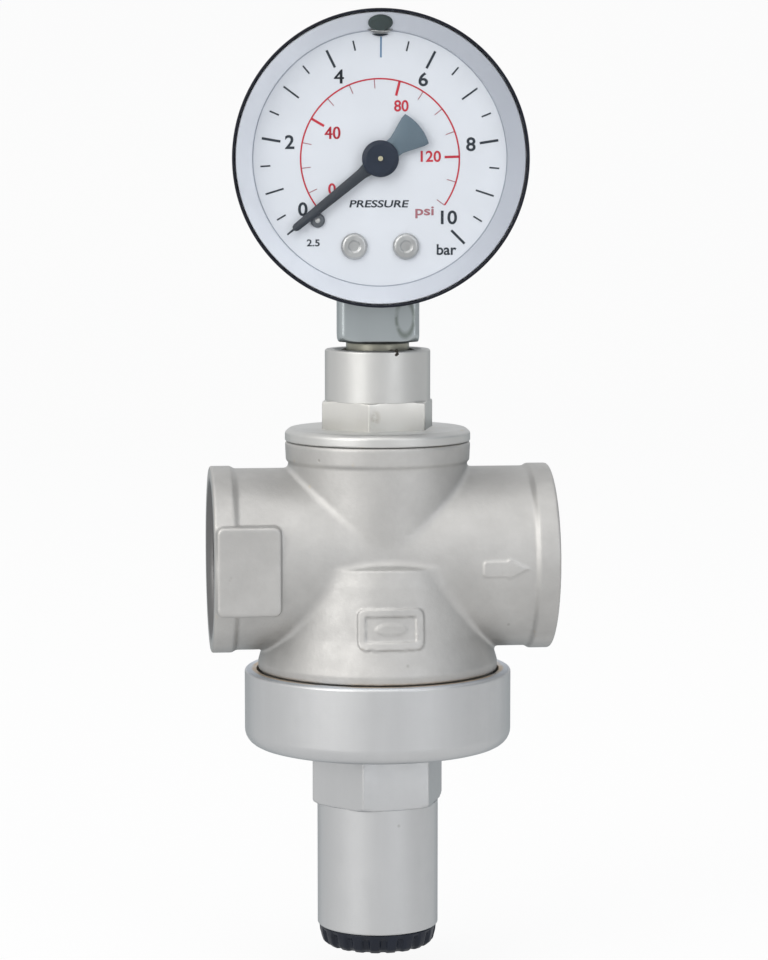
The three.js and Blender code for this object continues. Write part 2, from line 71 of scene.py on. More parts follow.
class Graph:
    """Short names for building a material's nodes."""

    def __init__(self, name):
        self.material = bpy.data.materials.new(name)
        self.material.use_nodes = True
        self.tree = self.material.node_tree
        self.shader = self.tree.nodes["Principled BSDF"]
        self.place = self.node("TexCoord").outputs["Object"]

    def node(self, kind, **inputs):
        """A shader node with its inputs linked or set by name."""
        made = self.tree.nodes.new("ShaderNode" + kind)
        for key, value in inputs.items():
            self.put(made.inputs[key.replace("_", " ")], value)
        return made

    def put(self, socket, value):
        """Link a socket to another node's output, or set its value."""
        if isinstance(value, bpy.types.NodeSocket):
            self.tree.links.new(value, socket)
        else:
            socket.default_value = value

    def stretched(self, scale):
        """The piece's own coordinates, scaled by axis."""
        made = self.node("Mapping", Vector=self.place)
        made.inputs["Scale"].default_value = scale
        return made.outputs["Vector"]

    def noise(self, scale, detail=3.0, rough=0.5, vector=None):
        """Noise with so many lumps to the metre."""
        place = vector or self.place
        return self.node("TexNoise", Vector=place, Scale=scale, Detail=detail, Roughness=rough).outputs["Fac"]

    def ramp(self, fac, low, high, start=0.0, end=1.0):
        """fac mapped from low..high to start..end, clamped."""
        made = self.node("MapRange", Value=fac, From_Min=low, From_Max=high, To_Min=start, To_Max=end)
        return made.outputs["Result"]

    def mix(self, fac, a, b):
        """Colour a where fac is 0 and colour b where it is 1."""
        made = self.tree.nodes.new("ShaderNodeMix")
        made.data_type = "RGBA"
        self.put(made.inputs[0], fac)
        self.put(made.inputs[6], a)
        self.put(made.inputs[7], b)
        return made.outputs[2]

    def math(self, how, a, b):
        """Arithmetic on two values, held between 0 and 1."""
        made = self.tree.nodes.new("ShaderNodeMath")
        made.operation = how
        made.use_clamp = how in ("ADD", "MULTIPLY", "SUBTRACT")
        self.put(made.inputs[0], a)
        self.put(made.inputs[1], b)
        return made.outputs[0]

    def reach(self, centre, radii):
        """Distance from a centre in radii, both in millimetres; a radius of None leaves that axis out."""
        made = self.node("Mapping", Vector=self.place)
        scale = [0 if r is None else 1 / MM / r for r in radii]
        made.inputs["Scale"].default_value = scale
        made.inputs["Location"].default_value = [-c * MM * k for c, k in zip(centre, scale)]
        length = self.tree.nodes.new("ShaderNodeVectorMath")
        length.operation = "LENGTH"
        self.put(length.inputs[0], made.outputs["Vector"])
        return length.outputs["Value"]

    def facing_up(self, low, high):
        """How far the surface faces upward, ramped from 0 to 1."""
        split = self.node("SeparateXYZ", Vector=self.node("NewGeometry").outputs["Normal"])
        return self.ramp(split.outputs["Z"], low, high)

    def bump(self, height, distance, strength=1.0, normal=None):
        """A surface normal roughened by a height, on top of another normal."""
        made = self.node("Bump", Height=height, Distance=distance, Strength=strength)
        if normal:
            self.put(made.inputs["Normal"], normal)
        return made.outputs["Normal"]

    def blend(self, fac, first, second):
        """Show a mixture of two shader nodes on the surface."""
        made = self.node("MixShader", Fac=fac)
        self.tree.links.new(first.outputs[0], made.inputs[1])
        self.tree.links.new(second.outputs[0], made.inputs[2])
        self.tree.links.new(made.outputs[0], self.tree.nodes["Material Output"].inputs["Surface"])


def shaded(colour, factor):
    """A linear colour made darker or lighter, held to white."""
    return [min(1, v * factor) for v in colour[:3]] + [1]


def nickel(name, tint, rough, cast, turning=0.0, wear=0.35, marks=()):
    """Satin nickel plate: cast grain and pits, or turning marks round an axis, with brassy worn edges, painted
    shade at grazing angles and painted reflection tints that are darker on sides than on tops.
    """
    g = Graph(name)
    base = srgb(*tint)
    if cast > 0.5:
        cloud = g.noise(90, 4, 0.6)
        dark, light = shaded(base, 0.9), shaded(base, 1.05)
    else:
        cloud = g.noise(1.0, 3, 0.5, g.stretched((300, 300, 30)))
        dark, light = shaded(base, 0.975), shaded(base, 1.01)
    fine = g.noise(1500, 4, 0.6)
    colour = g.mix(g.ramp(cloud, 0.35, 0.68), dark, light)
    colour = g.mix(g.ramp(fine, 0.3, 0.8, 0, 0.22), colour, dark)
    pits = g.node("TexVoronoi", Vector=g.place, Scale=420.0, Randomness=1.0).outputs["Distance"]
    sparse = g.ramp(g.noise(110, 2), 0.66, 0.72)
    pit = g.math("MULTIPLY", g.ramp(pits, 0.04, 0.16, 1, 0), sparse)
    colour = g.mix(g.math("MULTIPLY", pit, 0.5 * cast), colour, srgb(*PIT_FLOOR))
    edge = g.ramp(g.node("NewGeometry").outputs["Pointiness"], 0.53, 0.62)
    worn = g.math("MULTIPLY", edge, g.ramp(g.noise(420, 5, 0.7), 0.45, 0.62))
    colour = g.mix(g.math("MULTIPLY", worn, wear), colour, srgb(*WORN_EDGE))
    for mark in marks:
        amount, shade = mark(g)
        colour = g.mix(amount, colour, srgb(*shade))
    upward = g.facing_up(0.3, 0.7)
    # Painted shade: surfaces seen at a grazing angle are darkened to a bluish grey, less where they face up.
    slant = g.ramp(g.node("LayerWeight", Blend=0.5).outputs["Facing"], 0.62, 1.0, 0, 0.36)
    colour = g.mix(g.math("SUBTRACT", slant, upward), colour, srgb(*PAINTED_GRAZING_SHADE))
    g.put(g.shader.inputs["Base Color"], colour)
    # Painted reflection: the sides reflect with a darker, bluer tint than the tops.
    g.put(g.shader.inputs["Specular Tint"], g.mix(upward, SIDE_SHEEN, TOP_SHEEN))
    g.shader.inputs["Metallic"].default_value = 1.0
    roughness = g.ramp(g.noise(260, 5, 0.65), 0.3, 0.75, rough - 0.05, rough + 0.08)
    g.put(g.shader.inputs["Roughness"], roughness)
    normal = g.bump(g.noise(700, 5, 0.65), GRAIN_DEPTH * max(cast, 0.15), 0.9)
    normal = g.bump(pit, -PIT_DEPTH, cast, normal)
    if turning:
        lines = g.noise(1.0, 2, 0.5, g.stretched((6, 6, 5200)))
        normal = g.bump(lines, LINE_DEPTH, turning, normal)
    g.put(g.shader.inputs["Normal"], normal)
    return g.material


def metal(name, colour, rough=0.3):
    """Turned brass or steel: streaked colour and fine machining marks."""
    g = Graph(name)
    base = srgb(*colour)
    g.put(g.shader.inputs["Base Color"], g.mix(g.ramp(g.noise(225, 4), 0.35, 0.7), shaded(base, 0.75), base))
    g.shader.inputs["Metallic"].default_value = 1.0
    g.put(g.shader.inputs["Roughness"], g.ramp(g.noise(900, 4), 0.3, 0.7, rough - 0.06, rough + 0.1))
    lines = g.noise(1.0, 2, 0.5, g.stretched((40, 40, 4500)))
    g.put(g.shader.inputs["Normal"], g.bump(lines, LINE_DEPTH, 0.8))
    return g.material


def plastic(name, colour, rough, vary, grain=1800, depth=0.00001, marks=(), shine=0.5):
    """Moulded plastic or rubber: slight colour drift, fine moulding texture."""
    g = Graph(name)
    base = srgb(*colour)
    shown = g.mix(g.ramp(g.noise(140, 4), 0.35, 0.68), shaded(base, 1 - vary), shaded(base, 1 + vary))
    for mark in marks:
        amount, shade = mark(g)
        shown = g.mix(amount, shown, srgb(*shade))
    g.put(g.shader.inputs["Base Color"], shown)
    g.put(g.shader.inputs["Roughness"], g.ramp(g.noise(600, 4), 0.3, 0.7, rough - 0.05, rough + 0.08))
    g.put(g.shader.inputs["Normal"], g.bump(g.noise(grain, 3), depth, 0.7))
    g.shader.inputs["Specular IOR Level"].default_value = shine
    return g.material


def ink(name, colour):
    """Printed ink: matt, with a faint unevenness."""
    return plastic(name, colour, 0.55, 0.08, 4000, 0.000002)


def window_material():
    """A clear plastic pane: almost all light goes through, and it mirrors a little at a slant."""
    g = Graph("window_clear")
    clear = g.node("BsdfTransparent", Color=(0.985, 0.99, 0.995, 1))
    gloss = g.node("BsdfGlossy", Color=(1, 1, 1, 1), Roughness=0.04)
    haze = g.ramp(g.noise(60, 3), 0.4, 0.7, 0.6, 1.0)
    facing = g.node("LayerWeight", Blend=0.18).outputs["Fresnel"]
    amount = g.math("MULTIPLY", facing, g.math("MULTIPLY", haze, 0.35))
    g.blend(amount, clear, gloss)
    g.tree.nodes.remove(g.shader)
    return g.material


# Marks on a finish: each gives how strongly a colour shows, and that colour.
def bore_shade(g):
    """Painted shade inside the ports: their bores are darkened to a grey, unplated look."""
    from_axis = g.reach((0, 0, SEAT_Z + PORT_AXIS), (None, 1, 1))
    return g.ramp(from_axis, 13.6, 14.6, 0.8, 0), (92, 92, 94)


def ring_shade(g):
    """Painted shade: the ring darkens towards its right side."""
    side = g.reach((-40, 0, 0), (40, None, None))
    return g.ramp(side, 0.5, 1.5, 0, 1), (186, 190, 198)


def rim_top_painted_light(g):
    """Painted light: the flat ring on top of the cup is painted lighter and cooler than its sides."""
    below = g.ramp(g.reach((0, 0, SEAT_Z + RIM_Z), (None, None, 1)), 0.2, 0.7, 0.75, 0)
    return g.math("MULTIPLY", below, g.facing_up(0.6, 0.95)), (222, 228, 236)


def rim_wear(g):
    """A worn cream line round the inner edge of the cup's rim."""
    ring = g.ramp(g.reach((0, 0, 0), (1, 1, None)), 21.9, 22.3, 1, 0)
    top = g.ramp(g.reach((0, 0, SEAT_Z + RIM_Z), (None, None, 1)), 0.5, 0.9, 1, 0)
    patches = g.ramp(g.noise(70, 4), 0.36, 0.5, 0, 0.85)
    return g.math("MULTIPLY", g.math("MULTIPLY", ring, top), patches), (214, 190, 158)


def dark_spots(*places):
    """Small dark spots on the front at (x, z) places."""

    def mark(g):
        total = 0.0
        for x, z in places:
            total = g.math("ADD", g.ramp(g.reach((x, -14, z), (0.3, 20, 0.3)), 0.3, 1.3, 0.32, 0), total)
        return total, (120, 118, 112)

    return mark


def painted_reflection_loop(g):
    """Painted reflection: a looped dark mark on the right of the square's front face."""
    away = g.reach((4.0, -7, GAUGE_Z - 27.2), (1.5, 8, 3.0))
    loop = g.math("MULTIPLY", g.ramp(away, 0.7, 0.95), g.ramp(away, 1.05, 1.3, 1, 0))
    return g.math("MULTIPLY", loop, g.ramp(g.noise(700, 4), 0.32, 0.5, 0.3, 0.75)), (118, 126, 120)


def neck_tone(g):
    """The brassy neck under the square."""
    below = g.ramp(g.reach((0, 0, GAUGE_Z - 35), (None, None, 1)), 3.1, 3.5, 1, 0)
    return below, (168, 167, 154)


def hex_stain(g):
    """A small brown stain on the plug's middle flat."""
    away = g.reach((-1.5, -10, SEAT_Z + 25), (1.0, 8, 1.4))
    patchy = g.ramp(g.noise(900, 4), 0.4, 0.6, 0, 0.4)
    return g.math("MULTIPLY", g.ramp(away, 0.4, 1.2, 1, 0), patchy), (160, 150, 132)


# The finishes of the valve and its gauge.
CAST = nickel("nickel_cast", cast=1.0, rough=0.55, tint=(200, 199, 197),
              marks=(bore_shade, dark_spots((3.0, 52.6), (21.5, 58.2))))
TURNED = nickel("nickel_turned", cast=0.2, turning=0.7, rough=0.44, tint=(206, 207, 208),
                marks=(rim_top_painted_light, rim_wear, dark_spots((2.6, 22.9))))
PLUG = nickel("nickel_plug", cast=0.2, turning=0.7, rough=0.46, tint=(212, 212, 210))
HEX = nickel("nickel_hex", cast=0.3, rough=0.42, tint=(203, 204, 205), wear=0.05)
PLUG_HEX = nickel("nickel_plug_hex", cast=0.3, rough=0.42, tint=(226, 225, 221), wear=0.05,
                  marks=(hex_stain,))
SQUARE = nickel("nickel_square", cast=0.3, rough=0.36, tint=(178, 185, 187),
                marks=(neck_tone, painted_reflection_loop))
BRASS = metal("brass_turned", (196, 158, 88))
STEEL = metal("steel_turned", (176, 178, 180), 0.28)
RUBBER = plastic("rubber_black", (40, 41, 43), 0.7, 0.2, 1400, 0.00003)
CASE = plastic("case_black", (13, 17, 30), 0.34, 0.15, 2500, 0.000004, shine=0.25)
CAP = plastic("cap_blue_black", (17, 24, 38), 0.42, 0.2, 1200, 0.00002, shine=0.35)
RING = plastic("ring_grey", (243, 246, 252), 0.5, 0.03, marks=(ring_shade,))
DIAL = plastic("dial_white", (227, 230, 235), 0.5, 0.02, 2600, 0.000003)
POINTER = plastic("pointer_slate", (46, 52, 60), 0.5, 0.12, 3000, 0.000004)
HUB = plastic("pointer_hub_slate", (40, 48, 62), 0.38, 0.1, 3000, 0.000004, shine=0.3)
TAIL = plastic("pointer_tail_grey", (98, 115, 126), 0.5, 0.08, 3000, 0.000004)
SCREW = metal("dial_screw_pale", (206, 206, 204), 0.36)
PIN = metal("pin_dark", (112, 116, 120), 0.34)
PIN_END = metal("arbor_end", (232, 224, 190), 0.35)
VENT = plastic("vent_rubber", (62, 74, 72), 0.65, 0.25, 1800, 0.00002)
TAPE = plastic("tape_fibre", (60, 56, 50), 0.85, 0.5, 2600, 0.0001)
INK = ink("ink_slate", (40, 48, 57))
INK_BLUE = ink("ink_blue", (96, 128, 160))
INK_RED = ink("ink_red", (200, 44, 62))
INK_FAINT = ink("ink_red_faint", (172, 112, 120))
INK_GREY = ink("ink_grey", (150, 158, 172))
PANE = window_material()


# ---------------------------------------------------------------- mesh building
def add_piece(name, parts, material, body, node=None, place=TO_VALVE, weighted=True):
    """One object from (vertices, faces) parts, riding on a body of the mechanism."""
    vertices, faces, base = [], [], 0
    for points, quads in parts:
        vertices.append(np.asarray(points, dtype=float))
        faces += [[base + i for i in face] for face in quads]
        base += len(points)
    mesh = bpy.data.meshes.new(name)
    mesh.from_pydata(np.vstack(vertices), [], faces)
    mesh.transform(Matrix.Scale(MM, 4) @ place)
    shaped = bmesh.new()
    shaped.from_mesh(mesh)
    bmesh.ops.remove_doubles(shaped, verts=shaped.verts, dist=1e-7)
    bmesh.ops.dissolve_degenerate(shaped, edges=shaped.edges, dist=1e-8)
    shaped.to_mesh(mesh)
    shaped.free()
    mesh.shade_smooth()
    made = bpy.data.objects.new(name, mesh)
    bpy.context.scene.collection.objects.link(made)
    mesh.materials.append(material)
    if weighted:
        made.modifiers.new("weighted", "WEIGHTED_NORMAL").keep_sharp = True
    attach(made, body)
    if node:
        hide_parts(node)
    return made


def rounded(corners, closed=False, step=math.radians(12)):
    """A polyline through (a, b, fillet) corners, each fillet an arc."""
    points = []
    count = len(corners)
    for i, (a, b, fillet) in enumerate(corners):
        if not fillet or (not closed and i in (0, count - 1)):
            points.append((a, b))
            continue
        here = np.array((a, b))
        back = np.array(corners[i - 1][:2]) - here
        ahead = np.array(corners[(i + 1) % count][:2]) - here
        back /= np.linalg.norm(back)
        ahead /= np.linalg.norm(ahead)
        half = math.acos(max(-1, min(1, float(back @ ahead)))) / 2
        centre = here + (back + ahead) / np.linalg.norm(back + ahead) * fillet / math.sin(half)
        start = here + back * fillet / math.tan(half) - centre
        end = here + ahead * fillet / math.tan(half) - centre
        turn = math.atan2(start[0] * end[1] - start[1] * end[0], float(start @ end))
        steps = max(2, math.ceil(abs(turn) / step))
        for k in range(steps + 1):
            angle = turn * k / steps
            c, s = math.cos(angle), math.sin(angle)
            points.append(tuple(centre + (c * start[0] - s * start[1], s * start[0] + c * start[1])))
    return points


def spin(points, segments=144, closed=False, axis="Z", shape=None):
    """(vertices, faces) of a profile of (radius, height) points turned about an axis."""
    angles = np.arange(segments) * 2 * math.pi / segments
    radius = np.array([p[0] for p in points])[:, None] + 0 * angles
    height = np.array([p[1] for p in points])[:, None] + 0 * angles
    if shape:
        radius, height = shape(angles[None, :] + 0 * radius, radius, height)
    x, y = radius * np.cos(angles), radius * np.sin(angles)
    grid = np.stack((x, y, height), -1) if axis == "Z" else np.stack((x, height, -y), -1)
    rows = len(points)
    faces = []
    for i in range(rows if closed else rows - 1):
        j = (i + 1) % rows
        for k in range(segments):
            m = (k + 1) % segments
            faces.append((i * segments + k, i * segments + m, j * segments + m, j * segments + k))
    return grid.reshape(-1, 3), faces


def hexagon(across, turn, rings):
    """A wrench hexagon whose corners are cut by a cone: rings are (limit radius, z)."""
    segments, softness = 480, 0.12

    def shape(angle, radius, height):
        around = (angle - turn + math.pi / 6) % (math.pi / 3) - math.pi / 6
        flat = across / 2 / np.cos(around)
        return smin(flat, radius, softness), height

    return spin(rings, segments, shape=shape)


def smin(a, b, k):
    """The smaller of two fields, blended over a width k."""
    h = np.maximum(k - np.abs(a - b), 0) / k
    return np.minimum(a, b) - h * h * k / 4


def smax(a, b, k):
    """The larger of two fields, blended over a width k."""
    return -smin(-a, -b, k)


def outline_distance(points):
    """The signed distance to a turned profile, held in a table over (radius, height)."""
    step, margin, past_axis = 0.1, 4, 0.3
    pts = np.array(points + [(-r, z) for r, z in reversed(points)])
    low = pts.min(0) - margin
    low[0] = -past_axis
    size = np.ceil((pts.max(0) + margin - low) / step).astype(int) + 2
    radii, heights = (low[k] + step * np.arange(size[k]) for k in (0, 1))
    r, z = np.meshgrid(radii, heights, indexing="ij")
    best = np.full(r.shape, 1e9)
    inside = np.zeros(r.shape, bool)
    for (ar, az), (br, bz) in zip(pts, np.roll(pts, -1, 0)):
        er, ez = br - ar, bz - az
        t = np.clip(((r - ar) * er + (z - az) * ez) / max(er * er + ez * ez, 1e-12), 0, 1)
        best = np.minimum(best, (r - ar - t * er) ** 2 + (z - az - t * ez) ** 2)
        crosses = (az > z) != (bz > z)
        with np.errstate(divide="ignore", invalid="ignore"):
            inside ^= crosses & (r < ar + (z - az) * er / (ez if ez else 1e-12))
    table = np.sqrt(best) * np.where(inside, -1, 1)

    def distance(r, z):
        u = np.clip((r - low[0]) / step, 0, size[0] - 1.001)
        v = np.clip((z - low[1]) / step, 0, size[1] - 1.001)
        i, j = u.astype(int), v.astype(int)
        u, v = u - i, v - j
        near = table[i, j] * (1 - u) + table[i + 1, j] * u
        far = table[i, j + 1] * (1 - u) + table[i + 1, j + 1] * u
        return near * (1 - v) + far * v

    return distance


def surface(field, low, high, step):
    """(vertices, quads) of the zero surface of a distance field, on a grid refined near the surface."""
    block, reach, probe = 4, 1.4, 0.02
    low = np.array(low, dtype=float)
    count = np.ceil((np.array(high) - low) / (step * block)).astype(int)
    cells = np.indices(count).reshape(3, -1).T
    coarse = field(*(low + (cells + 0.5) * step * block).T)
    near = np.abs(coarse) < step * block * reach
    big = np.where(coarse.reshape(count) < 0, -1.0, 1.0)
    values = big.repeat(block, 0).repeat(block, 1).repeat(block, 2)
    offsets = np.indices((block,) * 3).reshape(3, -1).T
    ids = (cells[near][:, None, :] * block + offsets[None]).reshape(-1, 3)
    values[ids[:, 0], ids[:, 1], ids[:, 2]] = field(*(low + ids * step).T)
    inside = values < 0
    corners = [(a, b, c) for a in (0, 1) for b in (0, 1) for c in (0, 1)]
    size = np.array(values.shape) - 1
    total = sum(inside[a : a + size[0], b : b + size[1], c : c + size[2]].astype(np.int8)
                for a, b, c in corners)
    active = np.argwhere((total > 0) & (total < 8))
    index = np.full(tuple(size), -1, np.int64)
    index[active[:, 0], active[:, 1], active[:, 2]] = np.arange(len(active))
    at = {c: values[active[:, 0] + c[0], active[:, 1] + c[1], active[:, 2] + c[2]] for c in corners}
    place, hits = np.zeros((len(active), 3)), np.zeros(len(active))
    for a in corners:
        for b in corners:
            if sum(b) - sum(a) != 1 or any(q < p for p, q in zip(a, b)):
                continue
            va, vb = at[a], at[b]
            cross = (va < 0) != (vb < 0)
            t = np.where(cross, va / np.where(cross, va - vb, 1), 0)
            for axis in range(3):
                place[:, axis] += np.where(cross, a[axis] + t * (b[axis] - a[axis]), 0)
            hits += cross
    points = low + (active + place / hits[:, None]) * step
    for _ in range(2):
        value = field(*points.T)
        slope = np.stack([(field(*(points + d).T) - field(*(points - d).T)) / (2 * probe)
                          for d in np.eye(3) * probe], -1)
        move = value[:, None] * slope / np.maximum((slope**2).sum(1), 0.25)[:, None]
        points = points - np.clip(move, -0.5 * step, 0.5 * step)
    quads = []
    for axis in range(3):
        p, q = (axis + 1) % 3, (axis + 2) % 3
        first = [slice(None)] * 3
        second = [slice(None)] * 3
        first[axis], second[axis] = slice(0, -1), slice(1, None)
        a, b = inside[tuple(first)], inside[tuple(second)]
        edges = np.argwhere(a != b)
        along, over = edges[:, p], edges[:, q]
        edges = edges[(along > 0) & (over > 0) & (along < size[p]) & (over < size[q])]
        out = a[edges[:, 0], edges[:, 1], edges[:, 2]]
        ring = []
        for dp, dq in ((-1, -1), (0, -1), (0, 0), (-1, 0)):
            cell = edges.copy()
            cell[:, p] += dp
            cell[:, q] += dq
            ring.append(index[cell[:, 0], cell[:, 1], cell[:, 2]])
        ring = np.stack(ring, 1)
        ring[~out] = ring[~out][:, ::-1]
        quads.append(ring)
    return points, np.concatenate(quads).tolist()


def box_distance(x, y, z, centre, half, r):
    """A box with rounded edges."""
    qx, qy, qz = (np.abs(v - c) - h + r for v, c, h in zip((x, y, z), centre, half))
    outside = np.sqrt(np.maximum(qx, 0) ** 2 + np.maximum(qy, 0) ** 2 + np.maximum(qz, 0) ** 2)
    return outside + np.minimum(np.maximum(qx, np.maximum(qy, qz)), 0) - r


def flat_box(x, z, centre, half, r):
    """A rectangle with rounded corners, seen from the front."""
    qx, qz = np.abs(x - centre[0]) - half[0] + r, np.abs(z - centre[1]) - half[1] + r
    return np.hypot(np.maximum(qx, 0), np.maximum(qz, 0)) + np.minimum(np.maximum(qx, qz), 0) - r


# ---------------------------------------------------------------- body casting
PORT_END = 29.7
BARREL_R, BOSS_R = 15.85, 16.3
BRANCH_R, BRANCH_TOP = 15.65, 20.3
BELL_R = 21.0
THREAD_PITCH = 1.814
PORT_SHIFT = 0.3  # the barrel stands a little to the right of the valve's axis
PAD_CENTRE, PAD_HALF, PAD_FACE = (-23.55, -0.55), (5.5, 7.66), 16.7
ARROW_Z, ARROW_TIP, ARROW_FACE = -0.65, 24.2, 16.05
BADGE_CENTRE, BADGE_HALF = (0.3, -10.3), (5.0, 2.8)
BORES = (  # (radius, middle, half the height)
    (9, -3.5, 5),  # inlet chamber under the seat
    (5.5, 3, 3),  # hole through the seat
    (11.5, 9, 5),  # outlet chamber
    (12.6, 17.5, 4.5),  # opening for the top plug
    (16.5, -21.6, 7.4),  # piston bore
    (4.1, -11.5, 4),  # guide of the stem
)
WAY_IN = ((-10, 0, -3), (5.5, 6, 4), 1)
WAY_OUT = ((11.5, 0, 7.2), (4, 6, 2.7), 1)
barrel = outline_distance(rounded([
    (0, -PORT_END, 0), (BOSS_R, -PORT_END, 0.4), (BOSS_R, -26.2, 0.5), (BARREL_R, -25.4, 0.6),
    (BARREL_R, 25.4, 0.6), (BOSS_R, 26.2, 0.5), (BOSS_R, PORT_END, 0.4), (0, PORT_END, 0)]))
branch = outline_distance(rounded([
    (0, 0, 0), (BRANCH_R, 0, 0), (BRANCH_R, 16.6, 0.25), (16.05, 17.1, 0.3), (16.2, BRANCH_TOP, 0.5),
    (0, BRANCH_TOP, 0)]))
bell = outline_distance(rounded([
    (0, 1.7, 0), (15.4, 0.75, 0.8), (17.8, -0.5, 0.35), (18.35, -3.2, 3), (18.85, -7.5, 6),
    (19.45, -12.5, 5), (20.5, -16.5, 1.8), (BELL_R, -18.2, 0.8), (BELL_R, -19.7, 0.25),
    (20.3, -19.7, 0), (20.3, -27, 0.3), (0, -27, 0)]))
port = outline_distance(rounded([
    (0, 14.7, 0), (12.15, 14.7, 0.3), (12.15, 28.3, 0.3), (13.7, 29.8, 0), (13.9, 32, 0), (0, 32, 0)]))


def inner_space(x, y, z):
    """The passages: the round bores and the ways in and out."""
    around = np.hypot(x, y)
    space = np.minimum(box_distance(x, y, z, *WAY_IN), box_distance(x, y, z, *WAY_OUT))
    for radius, middle, half in BORES:
        space = np.minimum(space, np.maximum(around - radius, np.abs(z - middle) - half))
    return space


def body_field(x, y, z):
    """The casting: barrel, branch and bell blended, with pads, arrow, badge, bores and threads."""
    across = np.hypot(y, z - PORT_AXIS)
    around = np.hypot(x, y)
    skirt = bell(around, z)
    crease = 0.2 + 0.8 * np.clip(np.abs(x) / 14, 0, 1)
    shell = smin(barrel(across, x - PORT_SHIFT), branch(around, z), crease)
    shell = smin(shell, skirt, 0.85)
    pad = smax(flat_box(x, z, PAD_CENTRE, PAD_HALF, 1.2), np.abs(y) - PAD_FACE, 0.6)
    shell = smin(shell, pad, 0.4)
    front = y < 0
    stem = flat_box(x, z, (19.1, ARROW_Z), (2.4, 1.25), 0.4)
    head = np.maximum((x - ARROW_TIP) * 0.45 + np.abs(z - ARROW_Z) * 0.9, 21.0 - x)
    arrow = np.maximum(smin(stem, head, 0.5), across - ARROW_FACE)
    shell = np.where(front, smin(shell, smax(arrow, 12 - across, 0.2), 0.45), shell)
    border = np.abs(flat_box(x, z, BADGE_CENTRE, BADGE_HALF, 0.6)) - 0.68
    oval = np.hypot((x - BADGE_CENTRE[0]) / 2.6, z - BADGE_CENTRE[1]) - 1
    badge = np.minimum(smax(border, skirt - 0.3, 0.12), smax(oval, skirt - 0.14, 0.12))
    shell = np.where(front, smin(shell, badge, 0.2), shell)
    turns = (x - PORT_SHIFT) / THREAD_PITCH - np.arctan2(z - PORT_AXIS, y) / (2 * math.pi)
    ridge = np.abs((turns % 1) - 0.5) * 4 - 1
    along = np.abs(x - PORT_SHIFT)
    depth = np.clip((along - 15.6) / 1.5, 0, 1) * np.clip((29.4 - along) / 1.2, 0, 1)
    bore = port(across + 0.42 * ridge * depth, along)
    return smax(shell, -np.minimum(bore, inner_space(x, y, z)), 0.25)


casting = surface(body_field, (-31, -22, -28), (31, 22, 21.4), 0.3)
add_piece("body_casting", [casting], CAST, STATIC, "body", weighted=False)

# ---------------------------------------------------------------- top plug
SOCKET_R, SOCKET_TOP = 9.2, 36.4
FLANGE_R, FLANGE_FOOT = 16.2, 20.36
plug_ring = spin(rounded([
    (6.5, 23.2, 0), (6.5, 35.3, 0.3), (7.7, SOCKET_TOP, 0.25), (SOCKET_R, SOCKET_TOP, 0.45),
    (SOCKET_R, 27.4, 0.05), (8.3, 27.4, 0), (8.3, 22.6, 0), (15.4, 22.6, 0.8), (FLANGE_R, 21.9, 0.7),
    (FLANGE_R, FLANGE_FOOT, 0.3), (11.2, FLANGE_FOOT, 0), (11.2, 18.8, 0), (12.4, 18.8, 0.1),
    (12.4, 14.3, 0.3), (9.5, 14.3, 0.1), (9.5, 17, 0), (3, 17, 0), (3, 23.2, 0)], closed=True), closed=True)
plug_hex = hexagon(18, math.radians(-74), [
    (8.0, 22.5), (10.5, 22.5), (10.5, 27.05), (10.2, 27.35), (9.6, 27.48), (8.0, 27.5)])
add_piece("plug_turned", [plug_ring], PLUG, STATIC, "top_plug")
add_piece("plug_hexagon", [plug_hex], PLUG_HEX, STATIC, None)

# ---------------------------------------------------------------- bonnet
CUP_R, CUP_FOOT = 23.4, -33.1
TUBE_R, TUBE_TOP, TUBE_END = 10.65, -43.35, -65.5
bonnet_ring = spin(rounded([
    (21.3, RIM_Z, 0.2), (CUP_R, RIM_Z, 0.55), (CUP_R, CUP_FOOT, 2.8), (9.6, CUP_FOOT, 0),
    (9.6, TUBE_TOP, 0), (TUBE_R, TUBE_TOP, 0.1), (TUBE_R, TUBE_END, 0.4), (8.4, TUBE_END, 0.3),
    (8.4, -31.3, 0), (17, -29.3, 0), (17, -27, 0), (20.6, -27, 0), (20.6, -21.6, 0.3)],
    closed=True), 192, closed=True)
bonnet_hex = hexagon(20.8, math.radians(-78), [
    (9.4, -43.4), (10.6, -43.4), (11.3, -43.38), (11.75, -43.1), (12.05, -42.7), (12.05, -32.9), (9.4, -32.9)])
add_piece("bonnet_turned", [bonnet_ring], TURNED, STATIC, "bonnet")
add_piece("bonnet_hexagon", [bonnet_hex], HEX, STATIC, None)


# ---------------------------------------------------------------- cap
GRIP_COUNT, GRIP_DEPTH, GRIP_TOP = 20, 0.62, -66.35


def cap_grip(angle, radius, height):
    """Shallow grooves all round that fade out towards the band at the top."""
    wave = 0.5 + 0.5 * np.cos(angle * GRIP_COUNT)
    groove = np.clip((wave - 0.45) / 0.4, 0, 1)
    low = np.clip((GRIP_TOP - height) / 0.35, 0, 1) * (radius > 8.8)
    return radius - GRIP_DEPTH * groove * low, height


cap_shell = spin(rounded([
    (0, -69, 0), (9.0, -69, 0.5), (9.85, -68.3, 0.8), (10.25, -66.7, 0.3), (10.35, -65.57, 0.2),
    (8.1, -65.55, 0), (8.1, -64.9, 0), (7.2, -64.9, 0), (7.2, -63.6, 0), (8.1, -63.6, 0), (8.1, -62.6, 0),
    (6.4, -62.6, 0), (6.4, -65.5, 0), (0, -65.5, 0)]), 320, shape=cap_grip)
add_piece("cap_moulded", [cap_shell], CAP, "screw_cap", "cap")


